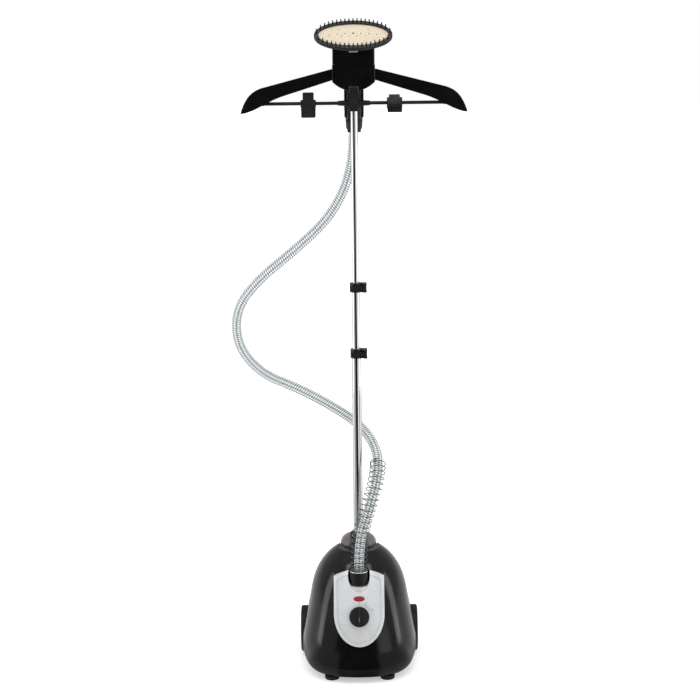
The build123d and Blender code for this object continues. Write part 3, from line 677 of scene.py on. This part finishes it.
# ---------------------------------------------------------------- wire guard
WIRE_RADIUS = 0.00105
GUARD_START = 0.0285
GUARD_LENGTH = 0.262
COIL_LOW, COIL_HIGH = 0.0184, 0.0176
COIL_PITCH = 0.0125
CLOSED_PITCH = 0.0024
COIL_STEPS = 40
COIL_DRIFT = 0.0032


def make_guard():
    """A wire coil round the hose: closed turns at its ends, open ones between, and a little off centre."""
    fine = along(hose_line, np.linspace(0, line_length(hose_line), 4000))
    turn_ends, place = [0.0], 0.0
    while place < GUARD_LENGTH:
        near_end = min(place, 3 * (GUARD_LENGTH - place))
        share = min(1.0, near_end / (2 * COIL_PITCH))
        place += (CLOSED_PITCH + (COIL_PITCH - CLOSED_PITCH) * share) / COIL_STEPS
        turn_ends.append(min(place, GUARD_LENGTH))
    steps = np.array(turn_ends)
    centre = along(fine, GUARD_START + steps)
    share = steps / GUARD_LENGTH
    centre[:, 0] -= COIL_DRIFT * np.sin(pi * share) ** 2
    across, over = carried_frames(along(fine, GUARD_START + np.linspace(0, GUARD_LENGTH, 400)))
    pick = np.clip((share * 399).astype(int), 0, 399)
    angle = np.arange(len(steps)) * 2 * pi / COIL_STEPS
    radius = COIL_LOW + (COIL_HIGH - COIL_LOW) * share
    points = (
        centre
        + (radius * np.cos(angle))[:, None] * across[pick]
        + (radius * np.sin(angle))[:, None] * over[pick]
    )
    guard = tube("guard_wire", points, WIRE_RADIUS, 10, finishes["guard_steel"])
    return guard


guard = make_guard()
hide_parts("hose_spring")
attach(guard, "base")


def turned(name, centre, profile, material, sides=64):
    """A closed ring turned round a vertical axis, from a profile of (radius, height) corners."""
    verts, faces = [], []
    count = len(profile)
    for side in range(sides):
        angle = 2 * pi * side / sides
        for radius, height in profile:
            verts.append(
                (
                    centre[0] + radius * cos(angle),
                    centre[1] + radius * sin(angle),
                    height,
                )
            )
    for side in range(sides):
        after = (side + 1) % sides
        for corner in range(count):
            nearby = (corner + 1) % count
            faces.append(
                (
                    side * count + corner,
                    after * count + corner,
                    after * count + nearby,
                    side * count + nearby,
                )
            )
    return link_mesh(name, verts, faces, material)


_, nut_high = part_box("hose_nut")
OUTLET = (0.0, -0.080)
bright_ring = turned(
    "guard_ring",
    OUTLET,
    [
        (0.0160, nut_high.z),
        (0.0198, nut_high.z),
        (0.0204, nut_high.z + 0.0006),
        (0.0204, nut_high.z + 0.0020),
        (0.0196, nut_high.z + 0.0027),
        (0.0160, nut_high.z + 0.0027),
    ],
    finishes["chromed_tube"],
)
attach(bright_ring, "base")


# ---------------------------------------------------------------- marks on the panel and the dial
def surface_tree(node):
    data = nodes[node].data
    return BVHTree.FromPolygons(
        [v.co.copy() for v in data.vertices], [tuple(p.vertices) for p in data.polygons]
    )


MARK_PROUD = 0.00025
MARK_SUNK = 0.0004
MARK_FROM_Y = -0.4


def printed_strip(name, node, spine, width, material, body):
    """A thin raised strip on a node's front, along points given as (x, z)."""
    tree = surface_tree(node)
    spine = [Vector(point) for point in spine]
    verts, faces = [], []
    for index, point in enumerate(spine):
        before = spine[max(index - 1, 0)]
        after = spine[min(index + 1, len(spine) - 1)]
        run = (after - before).normalized()
        half = Vector((-run.y, run.x)) * (width / 2)
        for place in (point + half, point - half):
            hit, normal, _, _ = tree.ray_cast(
                Vector((place.x, MARK_FROM_Y, place.y)), Vector((0, 1, 0))
            )
            verts.append(hit + normal * MARK_PROUD)
            verts.append(hit - normal * MARK_SUNK)
    for index in range(len(spine) - 1):
        a, b = index * 4, index * 4 + 4
        for first, second in ((0, 2), (2, 3), (3, 1), (1, 0)):
            faces.append((a + first, a + second, b + second, b + first))
    last = (len(spine) - 1) * 4
    faces.append((0, 1, 3, 2))
    faces.append((last, last + 2, last + 3, last + 1))
    strip = link_mesh(name, verts, faces, material)
    strip.data.polygons.foreach_set("use_smooth", [False] * len(strip.data.polygons))
    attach(strip, body)
    return strip


def arc_points(centre, radius, start, end, count):
    """Points on a circle, by degrees clockwise from the top."""
    turns = np.radians(np.linspace(start, end, count))
    return [
        (centre[0] + radius * sin(turn), centre[1] + radius * cos(turn)) for turn in turns
    ]


DIAL = (0.0, 0.157)
# Name, node and body of each mark, its points, and its width.
MARKS = [
    (
        "mark_off",
        "control_panel",
        "base",
        [(0, DIAL[1] + 0.0265), (0, DIAL[1] + 0.0295)],
        0.0013,
    ),
    (
        "mark_sweep",
        "control_panel",
        "base",
        arc_points(DIAL, 0.0285, 24, 58, 12),
        0.0007,
    ),
    (
        "mark_low",
        "control_panel",
        "base",
        arc_points((0.0150, DIAL[1] + 0.0285), 0.0011, 0, 360, 17),
        0.0005,
    ),
    (
        "mark_high",
        "control_panel",
        "base",
        arc_points((0.0300, DIAL[1] + 0.0150), 0.0021, 0, 360, 21),
        0.0006,
    ),
    (
        "dial_pointer",
        "knob",
        "dial",
        [(0, DIAL[1] + 0.004), (0, DIAL[1] - 0.004)],
        0.0011,
    ),
]
for name, node, body, spine, width in MARKS:
    printed_strip(name, node, spine, width, finishes["grey_trim"], body)
